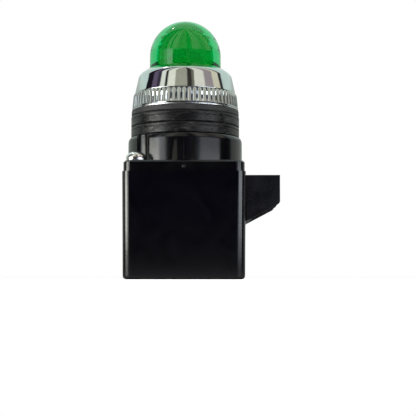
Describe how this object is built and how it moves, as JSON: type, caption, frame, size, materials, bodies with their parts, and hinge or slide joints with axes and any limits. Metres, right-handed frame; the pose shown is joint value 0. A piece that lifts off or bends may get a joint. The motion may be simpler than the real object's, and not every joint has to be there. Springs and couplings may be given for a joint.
{
  "type": "panel pilot light",
  "caption": "Panel-mounted pilot light with a domed lens, a knurled locking ring, panel spacers, a square transformer case at the rear and a screw terminal block on its side.",
  "frame": {"origin": "on the lamp's axis, in the plane of the panel's rear face when no front play is left", "axes": "+Z out through the panel to the lens, +X towards the terminal block, -Y the plain side of the case with the small moulded nub"},
  "size_m": [0.0414, 0.0324, 0.0714],
  "materials": {
    "case_black": "moulded phenolic, fine satin grain",
    "barrel_black": "moulded phenolic, semi-gloss",
    "spacer_black": "satin fibre ring, scuffed edges",
    "gasket_black": "dull rubber",
    "block_black": "moulded phenolic, satin",
    "ring_chrome": "bright chrome plate",
    "washer_steel": "plated steel",
    "screw_steel": "bright nickel plate",
    "screw_brass": "nickel-plated brass, slightly yellow",
    "terminal_brass": "rolled brass",
    "socket_brass": "drawn brass",
    "seal_rubber": "dark rubber",
    "lens_green": "clear green, polished",
    "bulb_glass": "clear glass",
    "lamp_black": "black vitrified insulator",
    "phenolic_brown": "laminated phenolic sheet",
    "spring_steel": "hard-drawn wire",
    "core_steel": "laminated silicon steel",
    "bobbin_cream": "moulded nylon",
    "copper_fine": "fine enamelled copper wire",
    "copper_thick": "enamelled copper wire",
    "lead_yellow": "flexible insulation",
    "lead_white": "flexible insulation"
  },
  "bodies": {
    "root": {"transformer_case": "case_black", "barrel": "barrel_black", "case_screws": "screw_steel", "spacer_lower": "spacer_black", "spacer_upper": "spacer_black", "front_gasket": "gasket_black", "bulb": "bulb_glass", "lamp_base": "socket_brass", "lamp_foot": "lamp_black", "socket_shell": "socket_brass", "socket_insulator": "phenolic_brown", "contact_spring": "spring_steel", "contact_carrier": "phenolic_brown", "centre_contact": "terminal_brass", "core_e_stack": "core_steel", "core_i_stack": "core_steel", "bobbin": "bobbin_cream", "primary_winding": "copper_fine", "secondary_winding": "copper_thick", "primary_leads": "lead_yellow", "secondary_leads": "lead_white", "terminal_block": "block_black", "terminal_plates": "terminal_brass", "terminal_clamps": "washer_steel", "terminal_screws": "screw_brass"},
    "ring_washer": {"ring_washer": "washer_steel"},
    "locking_ring": {"locking_ring": "ring_chrome"},
    "lens_seal": {"lens_seal": "seal_rubber"},
    "lens": {"lens": "lens_green"}
  },
  "joints": [
    {"name": "ring_lift", "type": "slide", "parent": "root", "child": "ring_washer", "axis": [0, 0, 1], "range_m": [0, 0.008]},
    {"name": "ring_turn", "type": "hinge", "parent": "ring_washer", "child": "locking_ring", "pos_m": [0, 0, 0], "axis": [0, 0, 1], "range_deg": [0, 2880]},
    {"name": "lens_lift", "type": "slide", "parent": "root", "child": "lens_seal", "axis": [0, 0, 1], "range_m": [0, 0.005]},
    {"name": "lens_turn", "type": "hinge", "parent": "lens_seal", "child": "lens", "pos_m": [0, 0, 0], "axis": [0, 0, 1], "range_deg": [0, 1800]}
  ],
  "couplings": [
    {"joint": "ring_lift", "follows": "ring_turn", "m_per_rad": 0.00015915},
    {"joint": "lens_lift", "follows": "lens_turn", "m_per_rad": 0.00015915}
  ]
}
